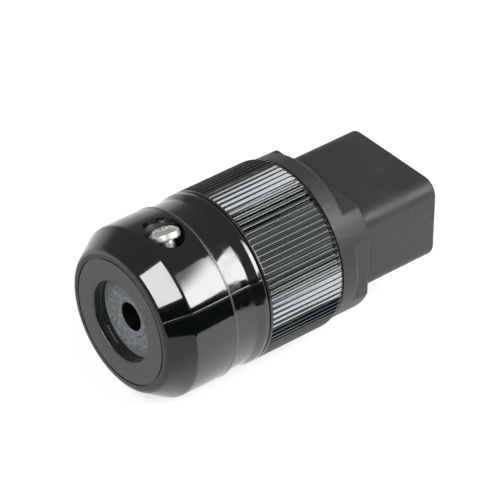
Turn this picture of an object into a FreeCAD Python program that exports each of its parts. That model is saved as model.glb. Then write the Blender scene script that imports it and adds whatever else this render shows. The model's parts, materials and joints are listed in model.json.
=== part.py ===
import FreeCAD, Part
import math
import os

# A rewirable C19 power connector, in millimetres.
# Origin: centre of the mating face. +X leaves the nose, +Z is up, and the barrel's axis is the X axis.
# Every station along the barrel is a negative X, worked out from the lengths below.

V = FreeCAD.Vector
X_AXIS, Y_AXIS, Z_AXIS = V(1, 0, 0), V(0, 1, 0), V(0, 0, 1)

# ---- nose and contact pattern ----
nose_width, nose_height, nose_length = 28.0, 19.7, 21.0
nose_corner = 3.6
nose_edge = 0.5
line_offset, row_offset = 6.5, 4.0         # live pair: +-Y from the axis; rows: +-Z from the axis
slot_width, slot_height, slot_corner, slot_mouth = 8.8, 2.8, 0.8, 0.5
face_wall = 2.0                            # plastic in front of the contacts
cavity_width, cavity_height = 9.0, 4.8

# ---- barrel and ring: every round size follows barrel_radius ----
barrel_radius = 19.1                       # crest of the ribs, rim and barrel are flush
waist_drop = 0.43
ring_wall, neck_wall = 2.1, 1.75

# ---- front body ----
flange_drop, flange_length = 0.6, 4.5      # the flange lies this far under the ribs
shoulder_side_drop, shoulder_top_drop, shoulder_length = 1.5, 5.5, 3.7
shoulder_corner, shoulder_rim, shoulder_front = 1.6, 1.2, 0.45    # roundings round the four flats
spigot_drop, spigot_wall, spigot_length = 2.0, 2.0, 5.0

# ---- coupling ring ----
ring_length, ring_lip = 19.8, 2.5
ring_gap = 0.25                            # open line at each end of the ring
ring_nose_drop, ring_nose_length = 0.65, 1.6
ring_rear_chamfer = 0.3
rib_count = 92
rib_crest, rib_groove_depth, rib_groove_floor = 0.2, 0.52, 0.1
rib_rear_band, rib_sink = 0.6, 0.03

# ---- rear housing ----
rim_length, rim_sweep, rim_chamfer = 1.0, 1.9, 0.25
waist_length = 8.25                        # rim's front face to the step
rear_length = 15.7                         # step to the rear face
step_chamfer = 0.3
cone_angle, cone_length = 33.0, 5.35
cone_edge, face_edge = 1.6, 1.7
rear_wall = 6.45
entry_radius, entry_land, entry_groove = 8.9, 0.25, 0.4
entry_groove_start, entry_groove_end = 1.1, 2.1
entry_lip_chamfer = 0.45
entry_depth = 3.15
face_line_margin, face_line_width, face_line_depth = 1.63, 0.35, 0.3

# ---- cord seal and cord clamp ----
seal_ledge, seal_bead_radius, seal_bead_height = 3.7, 4.4, 0.25
cord_hole = 3.1
clamp_width = 8.0                          # along X
clamp_turn = 30.4                          # the screws' axes lean this far from Z towards +Y
clamp_gap, saddle_radius = 2.4, 5.6
saddle_tooth_pitch, saddle_tooth_height = 4.0, 0.6
clamp_seat_sink = 2.25                     # seat of the screw's head below the jaw's round side
access_radius = 4.1
insert_radius, insert_length, insert_margin = 2.7, 4.8, 2.0

# ---- fasteners ----
clamp_shank, clamp_head_radius, clamp_head_height, clamp_head_chamfer = 1.75, 3.3, 2.4, 0.5
clamp_tip_gap = 0.3
upper_screw_out, lower_screw_out = 5.3, 3.0    # both are loosened: their heads stand off their seats
screw_tip_chamfer = 0.5
driver_slot, driver_depth, driver_cross = 1.0, 1.1, 3.6
terminal_shank, terminal_head_radius, terminal_head_height, terminal_head_chamfer = 2.0, 3.0, 2.2, 0.4
terminal_screw_reach = 2.3                 # shank below the contact's tail
retainer_shank, retainer_head_radius, retainer_head_height, retainer_head_chamfer = 1.25, 2.2, 1.5, 0.3
retainer_screw_length, retainer_tip_gap = 7.0, 0.5
retainer_screw_margin = 0.3                # head to the spigot's bore
retainer_deck_margin = 0.4                 # head to the terminals' deck

# ---- contacts and terminals ----
contact_width, contact_strip, blade_gap = 8.0, 0.8, 1.9
contact_mouth = 0.6                        # flare of each leaf at the mouth
contact_pinch = 6.0                        # mouth to the narrowest place
tail_width, tail_strip, tail_length = 7.0, 1.2, 17.5
deck_margin, deck_end_wall = 0.5, 0.5
retainer_thickness = 3.0
retainer_inset = 0.7                       # the cavities' rear end lies this far inside the shoulder
terminal_station = 13.5                    # retainer's front face to the terminal screws
clamp_plate_size, clamp_plate_thickness, clamp_plate_lip = 7.6, 1.2, 0.6

# ---- retaining ring ----
clip_width, clip_depth, clip_height, clip_opening = 1.2, 0.8, 1.4, 24.0

# ---- clearances ----
running_fit = 0.05                         # radial, where a piece turns or slides on another
slip_gap = 0.1                             # where a piece is laid into a pocket
thread_fit = 0.02                          # radial, shank to its thread or pressed insert
screw_clearance = 0.3                      # radial, shank through a plain hole

# ---- radii that follow ----
waist_radius = barrel_radius - waist_drop
flange_radius = barrel_radius - flange_drop
shoulder_width = 2 * (flange_radius - shoulder_side_drop)
shoulder_height = 2 * (flange_radius - shoulder_top_drop)
ring_bore = barrel_radius - ring_wall
neck_radius = ring_bore - running_fit
bore_radius = neck_radius - neck_wall      # inside of the neck and of the clamp chamber
spigot_radius = ring_bore - spigot_drop
spigot_bore = spigot_radius - spigot_wall
cone_radius = barrel_radius - cone_length * math.tan(math.radians(cone_angle))
face_line_radius = cone_radius - face_line_margin
seal_radius = bore_radius - seal_ledge
jaw_radius = bore_radius - slip_gap
clamp_offset = bore_radius - insert_radius - insert_margin
clamp_seat = math.sqrt(jaw_radius ** 2 - clamp_offset ** 2) - clamp_seat_sink
clamp_screw_room = math.sqrt(bore_radius ** 2 - (clamp_offset + clamp_shank) ** 2)
clamp_screw_length = clamp_seat + clamp_screw_room - clamp_tip_gap

# ---- stations along the barrel ----
nose_root = -nose_length
shoulder_rear = nose_root - shoulder_length
flange_rear = shoulder_rear - flange_length
spigot_end = flange_rear - spigot_length
ring_front = flange_rear - ring_gap
ring_rear = ring_front - ring_length
clip_front = ring_front - ring_lip
clip_rear = clip_front - clip_width
neck_front = clip_rear
rim_front = ring_rear - ring_gap
step_station = rim_front - waist_length
rear_face = step_station - rear_length
chamber_rear = rear_face + rear_wall
seal_face = rear_face + entry_depth
clamp_station = chamber_rear + clamp_width / 2
retainer_front = shoulder_rear + retainer_inset
retainer_rear = retainer_front - retainer_thickness
terminal_x = retainer_front - terminal_station
deck_rear = retainer_front - tail_length - deck_end_wall
contact_front = -face_wall - slip_gap
contact_places = (("line", -line_offset, -1), ("neutral", line_offset, -1), ("earth", 0.0, 1))
deck_half_height = row_offset - tail_strip / 2
deck_width = 2 * (line_offset + tail_width / 2 + deck_margin)
retainer_screw_z = deck_half_height + retainer_head_radius + retainer_deck_margin
retainer_screw_radius = spigot_bore - retainer_head_radius - retainer_screw_margin
retainer_screw_y = math.sqrt(retainer_screw_radius ** 2 - retainer_screw_z ** 2)


def cylinder(radius, x_start, x_end):
    """Solid cylinder about the barrel's axis."""
    return Part.makeCylinder(radius, abs(x_end - x_start), V(min(x_start, x_end), 0, 0), X_AXIS)


def ring_cut(x_start, x_end, inner, outer):
    """Tube about the barrel's axis."""
    return cylinder(outer, x_start, x_end).cut(cylinder(inner, x_start, x_end))


def block(x_start, x_end, width, height, y=0.0, z=0.0):
    """Block between two stations, centred on (y, z)."""
    low = min(x_start, x_end)
    return Part.makeBox(abs(x_end - x_start), width, height, V(low, y - width / 2, z - height / 2))


def rounded_block(x_start, x_end, width, height, corner, y=0.0, z=0.0):
    """Block whose four long edges are rounded."""
    plain = block(x_start, x_end, width, height, y, z)
    long_edges = [e for e in plain.Edges if abs(e.tangentAt(e.FirstParameter).dot(X_AXIS)) > 0.99]
    return plain.makeFillet(corner, long_edges)


def rectangle(x, width, height, y, z):
    """Closed wire of a rectangle in the plane at station x."""
    signs = ((-1, -1), (1, -1), (1, 1), (-1, 1), (-1, -1))
    return Part.Wire(Part.makePolygon([V(x, y + a * width / 2, z + b * height / 2) for a, b in signs]))


def arc_middle(length, drop):
    """Drop at half length of an arc that starts level and ends lower by the given drop."""
    radius = (length ** 2 + drop ** 2) / (2 * drop)
    return radius - math.sqrt(radius ** 2 - (length / 2) ** 2)


def eased(before, corner, after, radius):
    """Two steps for path that round a corner: the arc's start, then its end with its middle."""
    tip = V(corner[0], 0, corner[1])
    back = (V(before[0], 0, before[1]) - tip).normalize()
    on = (V(after[0], 0, after[1]) - tip).normalize()
    half = back.getAngle(on) / 2
    start, end = tip + back * (radius / math.tan(half)), tip + on * (radius / math.tan(half))
    middle = tip + (back + on).normalize() * (radius / math.sin(half) - radius)
    return (start.x, start.z), (end.x, end.z, middle.x, middle.z)


def path(*steps):
    """Closed face in the XZ plane. A step is (x, z), or (x, z, through_x, through_z) for an arc."""
    here = V(steps[0][0], 0, steps[0][1])
    edges = []
    for step in steps[1:] + steps[:1]:
        there = V(step[0], 0, step[1])
        if (there - here).Length > 1e-6:
            if len(step) == 4:
                edges.append(Part.Arc(here, V(step[2], 0, step[3]), there).toShape())
            else:
                edges.append(Part.makeLine(here, there))
        here = there
    return Part.Face(Part.Wire(edges))


def turned(*steps):
    """Solid of revolution about the barrel's axis from a profile in x and radius."""
    return path(*steps).revolve(V(0, 0, 0), X_AXIS, 360)


def edges_at(shape, x, inside=None, outside=None):
    """Edges that lie whole in the plane at station x, by their distance from the axis."""
    found = []
    for edge in shape.Edges:
        box = edge.BoundBox
        flat = abs(box.XMin - x) < 1e-4 and abs(box.XMax - x) < 1e-4
        middle = edge.valueAt((edge.FirstParameter + edge.LastParameter) / 2)
        reach = math.hypot(middle.y, middle.z)
        if flat and (inside is None or reach < inside) and (outside is None or reach > outside):
            found.append(edge)
    return found


def clamp_frame(shape, turn=0.0):
    """Move a shape drawn about Z at the origin to a cord clamp screw's axis."""
    shape = shape.copy()
    shape.translate(V(clamp_station, -clamp_offset, 0))
    shape.rotate(V(0, 0, 0), X_AXIS, -clamp_turn + turn)
    return shape


# ---- front body ----

def filleted(shape, radius_of):
    """Round several edges in one operation; radius_of gives each edge's radius, or 0 to leave it."""
    document = FreeCAD.newDocument("rounding")
    base = document.addObject("Part::Feature", "base")
    base.Shape = shape
    rounding = document.addObject("Part::Fillet", "rounding")
    rounding.Base = base
    radii = [radius_of(edge) for edge in base.Shape.Edges]
    rounding.Edges = [(index, radius, radius) for index, radius in enumerate(radii, 1) if radius]
    document.recompute()
    result = rounding.Shape.copy()
    FreeCAD.closeDocument(document.Name)
    return result


def shoulder_body():
    """Round flange with four flats cut into its front part, every edge of the flats eased."""
    disc = cylinder(flange_radius, flange_rear, nose_root)
    squared = block(shoulder_rear, nose_root, shoulder_width, shoulder_height)
    waste = cylinder(flange_radius + 1, shoulder_rear, nose_root).cut(squared)
    body = disc.cut(waste)
    rims = edges_at(body, shoulder_rear, outside=flange_radius - 0.01)
    fronts = edges_at(body, nose_root)

    def radius_of(edge):
        if any(edge.isSame(other) for other in rims):
            return shoulder_rim
        if any(edge.isSame(other) for other in fronts):
            return shoulder_front
        along = abs(edge.tangentAt(edge.FirstParameter).dot(X_AXIS)) > 0.99
        return shoulder_corner if along and edge.BoundBox.XMin > shoulder_rear - 1e-3 else 0

    return filleted(body, radius_of)


def contact_carrier():
    """Front moulding: nose, squared shoulder, flange and spigot, with one cavity for each contact."""
    nose = rounded_block(0, shoulder_rear, nose_width, nose_height, nose_corner)
    nose = nose.makeFillet(nose_edge, edges_at(nose, 0))
    body = nose.fuse([shoulder_body(), cylinder(spigot_radius, flange_rear, spigot_end)])
    cuts = [cylinder(spigot_bore, spigot_end, retainer_front)]
    for name, y, side in contact_places:
        z = side * row_offset
        slot = rounded_block(0, contact_front, slot_width, slot_height, slot_corner, y, z)
        wide, high = slot_width + 2 * slot_mouth, slot_height + 2 * slot_mouth
        mouth = Part.makeLoft([rectangle(0.0, wide, high, y, z),
                               rectangle(-slot_mouth, slot_width, slot_height, y, z)], True)
        cuts += [slot, mouth, block(-face_wall, retainer_front, cavity_width, cavity_height, y, z)]
    groove = cylinder(spigot_radius + 1, clip_rear - slip_gap, clip_front)
    cuts.append(groove.cut(cylinder(spigot_radius - clip_depth - slip_gap, clip_rear - slip_gap, clip_front)))
    for y in (-retainer_screw_y, retainer_screw_y):
        pilot = cylinder(retainer_shank + thread_fit, retainer_front, retainer_front + retainer_screw_length)
        pilot.translate(V(0, y, retainer_screw_z))
        cuts.append(pilot)
    return body.cut(cuts).removeSplitter()


def contact_retainer():
    """Rear insulator: the plate that shuts the cavities, with the deck that carries the terminals."""
    plate = cylinder(spigot_bore - slip_gap, retainer_front, retainer_rear)
    deck = block(retainer_rear, deck_rear, deck_width, 2 * deck_half_height)
    body = plate.fuse(deck)
    pocket_depth = terminal_screw_reach + screw_clearance
    cuts = []
    for name, y, side in contact_places:
        cuts.append(block(retainer_front, retainer_rear, tail_width + 2 * slip_gap, tail_strip + 2 * slip_gap,
                          y, side * row_offset))
        pocket_base = side * (deck_half_height - pocket_depth / 2) - pocket_depth / 2
        cuts.append(Part.makeCylinder(terminal_shank + screw_clearance, pocket_depth,
                                      V(terminal_x, y, pocket_base)))
    for y in (-retainer_screw_y, retainer_screw_y):
        hole = cylinder(retainer_shank + screw_clearance, retainer_front, retainer_rear)
        hole.translate(V(0, y, retainer_screw_z))
        cuts.append(hole)
    return body.cut(cuts).removeSplitter()


# ---- contacts and terminals ----

def contact(y, side):
    """One formed contact: two sprung leaves joined by a bridge, and a tapped tail."""
    half = blade_gap / 2
    strip = contact_strip
    back = retainer_front
    pinch = contact_front - contact_pinch
    outer = cavity_height / 2 - slip_gap
    leaf = path((contact_front, half + contact_mouth),
                (contact_front, half + contact_mouth + strip),
                (pinch, half + strip),
                (back + 4 * strip, outer),
                (back, outer),
                (back, 0), (back + strip, 0),
                (back + strip, outer - strip),
                (back + 4 * strip, outer - strip),
                (pinch, half))
    upper = leaf.extrude(V(0, contact_width, 0))
    upper.translate(V(0, -contact_width / 2, 0))
    tail = block(back + strip, back - tail_length, tail_width, tail_strip)
    body = upper.fuse([upper.mirror(V(0, 0, 0), Z_AXIS), tail])
    tapped = Part.makeCylinder(terminal_shank + thread_fit, 2 * tail_strip, V(terminal_x, 0, -tail_strip))
    body = body.cut(tapped).removeSplitter()
    body.translate(V(0, y, side * row_offset))
    return body


def terminal_clamp_plate(y, side):
    """Square pressure plate under the screw's head, stiffened by two turned-up edges."""
    size, thick, lip = clamp_plate_size, clamp_plate_thickness, clamp_plate_lip
    plate = Part.makeBox(size, size, thick, V(-size / 2, -size / 2, 0))
    hole = Part.makeCylinder(terminal_shank + screw_clearance, thick, V(0, 0, 0))
    plate = plate.cut(hole)
    flange = Part.makeBox(lip, size, lip, V(-size / 2, -size / 2, thick))
    plate = plate.fuse([flange, flange.mirror(V(0, 0, 0), X_AXIS)]).removeSplitter()
    return on_terminal(plate, y, side)


def on_terminal(shape, y, side):
    """Place a shape drawn on the XY plane onto the outer face of a contact's tail."""
    if side < 0:
        shape.rotate(V(0, 0, 0), X_AXIS, 180)
    shape.translate(V(terminal_x, y, side * (row_offset + tail_strip / 2)))
    return shape


def pan_screw(shank_radius, length, head_radius, head_height, head_chamfer, slots=1):
    """Screw drawn about Z with the head's underside at z = 0: slotted, or slotted and crossed."""
    tip = screw_tip_chamfer
    body = path((0, -length), (shank_radius - tip, -length), (shank_radius, tip - length),
                (shank_radius, 0), (head_radius, 0), (head_radius, head_height - head_chamfer),
                (head_radius - head_chamfer, head_height), (0, head_height))
    body = body.revolve(V(0, 0, 0), Z_AXIS, 360)
    cuts = []
    for index in range(slots):
        reach = 2 * head_radius if index == 0 else driver_cross
        cut = Part.makeBox(reach, driver_slot, driver_depth,
                           V(-reach / 2, -driver_slot / 2, head_height - driver_depth))
        cut.rotate(V(0, 0, 0), Z_AXIS, 90 * index)
        cuts.append(cut)
    return body.cut(cuts)


def terminal_screw(y, side):
    """Wire screw of one terminal."""
    length = clamp_plate_thickness + tail_strip + terminal_screw_reach
    screw = pan_screw(terminal_shank, length, terminal_head_radius, terminal_head_height,
                      terminal_head_chamfer)
    screw.translate(V(0, 0, clamp_plate_thickness))
    return on_terminal(screw, y, side)


def retainer_screws():
    """The two screws that hold the rear insulator in the front body."""
    screws = []
    length = retainer_thickness + retainer_screw_length - retainer_tip_gap
    for y in (-retainer_screw_y, retainer_screw_y):
        screw = pan_screw(retainer_shank, length, retainer_head_radius, retainer_head_height,
                          retainer_head_chamfer)
        screw.rotate(V(0, 0, 0), Y_AXIS, -90)
        screw.translate(V(retainer_rear, y, retainer_screw_z))
        screws.append(screw)
    return Part.makeCompound(screws)


# ---- coupling ring ----

def retaining_ring():
    """Split spring ring in the spigot's groove, behind the coupling ring's lip."""
    inner = spigot_radius - clip_depth
    ring = ring_cut(clip_rear, clip_front, inner, inner + clip_height + clip_depth)
    reach = 2 * barrel_radius
    half = reach * math.tan(math.radians(clip_opening / 2))
    mouth = Part.Face(Part.makePolygon([V(clip_rear, 0, 0), V(clip_rear, reach, -half),
                                        V(clip_rear, reach, half), V(clip_rear, 0, 0)]))
    return ring.cut(mouth.extrude(V(clip_width, 0, 0)))


def ribbed_zone():
    """Toothed tube between the ring's two bands: straight ribs with V grooves between them."""
    crest = barrel_radius - rib_sink
    floor = barrel_radius - rib_groove_depth
    pitch = 2 * math.pi / rib_count
    half_crest, half_floor = rib_crest / 2 / crest, rib_groove_floor / 2 / floor
    start = ring_rear + rib_rear_band
    points = []
    for index in range(rib_count):
        for radius, place in ((crest, -half_crest), (crest, half_crest),
                              (floor, pitch / 2 - half_floor), (floor, pitch / 2 + half_floor)):
            angle = index * pitch + place
            points.append(V(start, radius * math.sin(angle), radius * math.cos(angle)))
    outline = Part.Wire(Part.makePolygon(points + points[:1]))
    length = ring_length - ring_nose_length - rib_rear_band
    return Part.Face(outline).extrude(V(length, 0, 0))


def coupling_ring():
    """Ribbed ring: its front lip turns on the spigot and its bore holds the housing's neck."""
    ribs_end = ring_front - ring_nose_length
    ribs_start = ring_rear + rib_rear_band
    nose_middle = barrel_radius - arc_middle(ring_nose_length, ring_nose_drop)
    nose = turned((ribs_end, 0), (ribs_end, barrel_radius),
                  (ring_front, barrel_radius - ring_nose_drop, ring_front - ring_nose_length / 2, nose_middle),
                  (ring_front, 0))
    rear = turned((ring_rear, 0), (ring_rear, barrel_radius - ring_rear_chamfer),
                  (ring_rear + ring_rear_chamfer, barrel_radius), (ribs_start, barrel_radius), (ribs_start, 0))
    body = ribbed_zone().fuse([nose, rear])
    return body.cut([cylinder(ring_bore, ring_rear, clip_front),
                     cylinder(spigot_radius + running_fit, clip_front, ring_front)])


# ---- rear housing ----

def housing_body():
    """Outer form and bore of the rear moulding."""
    rim_back = rim_front - rim_length
    barrel_front = (step_station - step_chamfer, barrel_radius)
    cone_front = (rear_face + cone_length, barrel_radius)
    cone_rear = (rear_face, cone_radius)
    entry_edge = (rear_face, entry_radius + entry_lip_chamfer)
    return turned(
        (neck_front, bore_radius), (neck_front, neck_radius), (rim_front, neck_radius),
        (rim_front, barrel_radius - rim_chamfer), (rim_front - rim_chamfer, barrel_radius),
        (rim_back, barrel_radius), (rim_back - rim_sweep, waist_radius),
        (step_station, waist_radius), (step_station, barrel_radius - step_chamfer), barrel_front,
        *eased(barrel_front, cone_front, cone_rear, cone_edge),
        *eased(cone_front, cone_rear, entry_edge, face_edge),
        entry_edge, (rear_face + entry_lip_chamfer, entry_radius),
        (seal_face, entry_radius), (seal_face, seal_radius + slip_gap),
        (chamber_rear, seal_radius + slip_gap), (chamber_rear, bore_radius))


def rear_housing():
    """Rear moulding: threaded neck, waist, barrel, cord entry and the two screw access holes."""
    cuts = [
        ring_cut(rear_face, rear_face + face_line_depth, face_line_radius - face_line_width / 2,
                 face_line_radius + face_line_width / 2),
        cylinder(entry_radius + entry_groove, rear_face + entry_groove_start, rear_face + entry_groove_end),
        cylinder(entry_radius + entry_land, rear_face + entry_groove_end, seal_face)]
    access = Part.makeCylinder(access_radius, 2 * barrel_radius)
    cuts += [clamp_frame(access), clamp_frame(access, 180)]
    return housing_body().cut(cuts).removeSplitter()


# ---- cord seal and cord clamp ----

def cord_seal():
    """Rubber disc with a central hole, laid into the housing from inside."""
    body = cylinder(seal_radius, seal_face, chamber_rear)
    bead = cylinder(seal_bead_radius, seal_face - seal_bead_height, seal_face)
    hole = cylinder(cord_hole, seal_face - seal_bead_height, chamber_rear)
    return body.fuse(bead).cut(hole).removeSplitter()


def saddle():
    """Cord channel through both jaws, with V-shaped gripping grooves."""
    start, end = chamber_rear, chamber_rear + clamp_width
    steps = [(start, 0), (start, saddle_radius)]
    count = int(clamp_width / saddle_tooth_pitch)
    for index in range(count):
        low = start + index * clamp_width / count
        steps += [(low + clamp_width / count / 2, saddle_radius + saddle_tooth_height),
                  (low + clamp_width / count, saddle_radius)]
    return turned(*steps, (end, 0))


def clamp_jaw(turn):
    """One jaw of the cord clamp, on the side of the screw whose turn is given."""
    body = cylinder(jaw_radius, chamber_rear, chamber_rear + clamp_width)
    half = Part.makeBox(clamp_width, 2 * jaw_radius, jaw_radius, V(chamber_rear, -jaw_radius, clamp_gap / 2))
    near, far = V(clamp_station, -clamp_offset, 0), V(clamp_station, clamp_offset, 0)
    cuts = [
        saddle(),
        Part.makeCylinder(clamp_head_radius + screw_clearance, jaw_radius, near + V(0, 0, clamp_seat)),
        Part.makeCylinder(clamp_shank + screw_clearance, jaw_radius, near),
        Part.makeCylinder(clamp_shank + screw_clearance, jaw_radius, far),
        Part.makeCylinder(insert_radius, insert_length, far + V(0, 0, clamp_gap / 2))]
    body = body.common(half).cut(cuts)
    body.rotate(V(0, 0, 0), X_AXIS, -clamp_turn + turn)
    return body


def clamp_insert(turn):
    """Brass threaded insert pressed into the jaw opposite to the screw it takes."""
    sleeve = Part.makeCylinder(insert_radius, insert_length, V(0, 0, -clamp_gap / 2 - insert_length))
    hole = Part.makeCylinder(clamp_shank + thread_fit, insert_length, V(0, 0, -clamp_gap / 2 - insert_length))
    return clamp_frame(sleeve.cut(hole), turn)


def clamp_screw(turn, off_seat):
    """One screw of the cord clamp, standing off its seat by the given distance."""
    screw = pan_screw(clamp_shank, clamp_screw_length, clamp_head_radius, clamp_head_height,
                      clamp_head_chamfer, 2)
    screw.translate(V(0, 0, clamp_seat + off_seat))
    return clamp_frame(screw, turn)


def build():
    """Every separate piece, by node name."""
    nodes = {
        "contact_carrier": contact_carrier(),
        "contact_retainer": contact_retainer(),
        "retainer_screws": retainer_screws(),
        "retaining_ring": retaining_ring(),
        "coupling_ring": coupling_ring(),
        "rear_housing": rear_housing(),
        "cord_seal": cord_seal(),
    }
    for name, y, side in contact_places:
        nodes[name + "_contact"] = contact(y, side)
        nodes[name + "_clamp_plate"] = terminal_clamp_plate(y, side)
        nodes[name + "_screw"] = terminal_screw(y, side)
    for name, turn, off_seat in (("upper", 0, upper_screw_out), ("lower", 180, lower_screw_out)):
        nodes[name + "_cord_jaw"] = clamp_jaw(turn)
        nodes[name + "_cord_insert"] = clamp_insert(turn)
        nodes[name + "_cord_screw"] = clamp_screw(turn, off_seat)
    return nodes


os.makedirs("parts", exist_ok=True)
for node, shape in build().items():
    shape.exportStep("parts/" + node + ".step")
    box = shape.BoundBox
    print(f"{node:18s} solids {len(shape.Solids)}  valid {shape.isValid()}  volume {shape.Volume:9.1f}"
          f"  x {box.XMin:7.2f} {box.XMax:7.2f}  y {box.YMin:7.2f} {box.YMax:7.2f}"
          f"  z {box.ZMin:7.2f} {box.ZMax:7.2f}")
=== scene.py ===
import json
import logging
import math
from dataclasses import dataclass
from enum import Enum
from functools import cached_property
from typing import Callable, Sequence

import bpy
from mathutils import Euler, Matrix, Quaternion, Vector


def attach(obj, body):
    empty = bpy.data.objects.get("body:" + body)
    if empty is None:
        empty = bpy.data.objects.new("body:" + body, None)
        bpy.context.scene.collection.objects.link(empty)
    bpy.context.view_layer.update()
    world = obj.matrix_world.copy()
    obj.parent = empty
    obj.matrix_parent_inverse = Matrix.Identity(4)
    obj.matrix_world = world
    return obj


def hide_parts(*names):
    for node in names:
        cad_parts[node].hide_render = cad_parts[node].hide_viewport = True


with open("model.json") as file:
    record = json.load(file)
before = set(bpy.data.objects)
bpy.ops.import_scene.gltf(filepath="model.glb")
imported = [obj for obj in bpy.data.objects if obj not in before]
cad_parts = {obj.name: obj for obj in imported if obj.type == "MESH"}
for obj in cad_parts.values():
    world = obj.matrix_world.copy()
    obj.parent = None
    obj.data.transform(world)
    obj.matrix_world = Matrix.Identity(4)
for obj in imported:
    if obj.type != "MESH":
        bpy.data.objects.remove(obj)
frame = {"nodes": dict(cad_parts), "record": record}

MM = 0.001
LOG = logging.getLogger("connector")
X_AXIS, Z_AXIS = Vector((1.0, 0.0, 0.0)), Vector((0.0, 0.0, 1.0))
FULL_TURN = 2 * math.pi
MERGE = 2e-7            # metres within which two points are one
LOOSE_MERGE = 2e-6      # the same on a copy of a CAD node
WHITE = (1.0, 1.0, 1.0)
Pair = tuple[float, float]
Triple = tuple[float, float, float]


# ---------------------------------------------------------------- shader maths

class Signal:
    """A number that varies over a surface, written with Python's own operators."""

    def __init__(self, recipe: "Recipe", socket: bpy.types.NodeSocket) -> None:
        """Wrap one output socket of a recipe's node tree."""
        self.recipe = recipe
        self.socket = socket

    def _maths(self, operation: str, first: "Amount", second: "Amount") -> "Signal":
        """Add one Math node.

        Args:
            operation: name of the Math node's operation.
            first: value of the first input.
            second: value of the second input.

        Returns:
            The node's result.
        """
        node = self.recipe.node("ShaderNodeMath", {"operation": operation}, {0: first, 1: second})
        return Signal(self.recipe, node.outputs[0])

    def __add__(self, other: "Amount") -> "Signal":
        """self + other."""
        return self._maths("ADD", self, other)

    __radd__ = __add__

    def __mul__(self, other: "Amount") -> "Signal":
        """self * other."""
        return self._maths("MULTIPLY", self, other)

    __rmul__ = __mul__

    def __sub__(self, other: "Amount") -> "Signal":
        """self - other."""
        return self._maths("SUBTRACT", self, other)

    def __rsub__(self, other: "Amount") -> "Signal":
        """other - self."""
        return self._maths("SUBTRACT", other, self)

    def __pow__(self, other: "Amount") -> "Signal":
        """self ** other."""
        return self._maths("POWER", self, other)

    def bearing(self, other: "Signal") -> "Signal":
        """Angle whose tangent is self over other, in radians."""
        return self._maths("ARCTAN2", self, other)

    def span(self, other: "Signal") -> "Signal":
        """Distance from zero of a point with self and other as its coordinates."""
        return (self * self + other * other) ** 0.5

    def step(self, low: float, high: float) -> "Signal":
        """Smooth mask between two values.

        Args:
            low: value at which the mask is 0.
            high: value at which it is 1, above or below low.

        Returns:
            The mask.
        """
        if low > high:
            return 1.0 - self.step(high, low)
        node = self.recipe.node("ShaderNodeMapRange", {"interpolation_type": "SMOOTHSTEP"},
                                {"Value": self, "From Min": low, "From Max": high})
        return Signal(self.recipe, node.outputs["Result"])

    def band(self, centre: float, half: float, soft: float) -> "Signal":
        """Mask that is 1 within half of centre and fades out over soft."""
        low, high = centre - half, centre + half
        return self.step(low - soft, low) * self.step(high + soft, high)


Amount = Signal | float


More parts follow.
